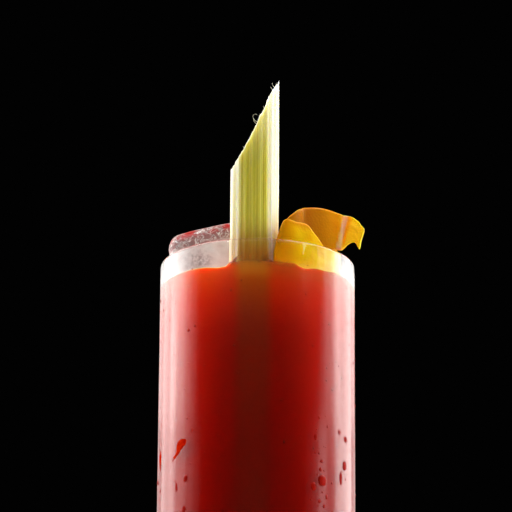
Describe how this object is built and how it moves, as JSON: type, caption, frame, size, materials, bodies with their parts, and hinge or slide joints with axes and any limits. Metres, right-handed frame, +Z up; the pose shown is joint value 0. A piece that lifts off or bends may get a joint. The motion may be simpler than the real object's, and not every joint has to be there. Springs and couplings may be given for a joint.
{
  "type": "bloody mary",
  "caption": "Tomato cocktail in a straight highball glass, with a slant-cut celery stick, an ice cube and a curl of lemon peel over the rim.",
  "frame": {"origin": "middle of the glass's flat underside", "axes": "+Z up along the glass's axis, -Y towards the side where the celery leans, +X towards the lemon peel"},
  "size_m": [0.0685, 0.07, 0.2095],
  "materials": {
    "glass": "clear, polished, misted outside with small drops",
    "tomato_drink": "wet, cloudy tomato red with dark specks",
    "celery": "fresh, ribbed, pale green",
    "ice": "wet, clear, with a cloudy middle",
    "lemon_peel": "waxy, dimpled, yellow"
  },
  "bodies": {
    "root": {"glass": "glass", "drink": "tomato_drink", "celery_stick": "celery", "ice_cube": "ice", "lemon_peel": "lemon_peel"}
  },
  "joints": []
}
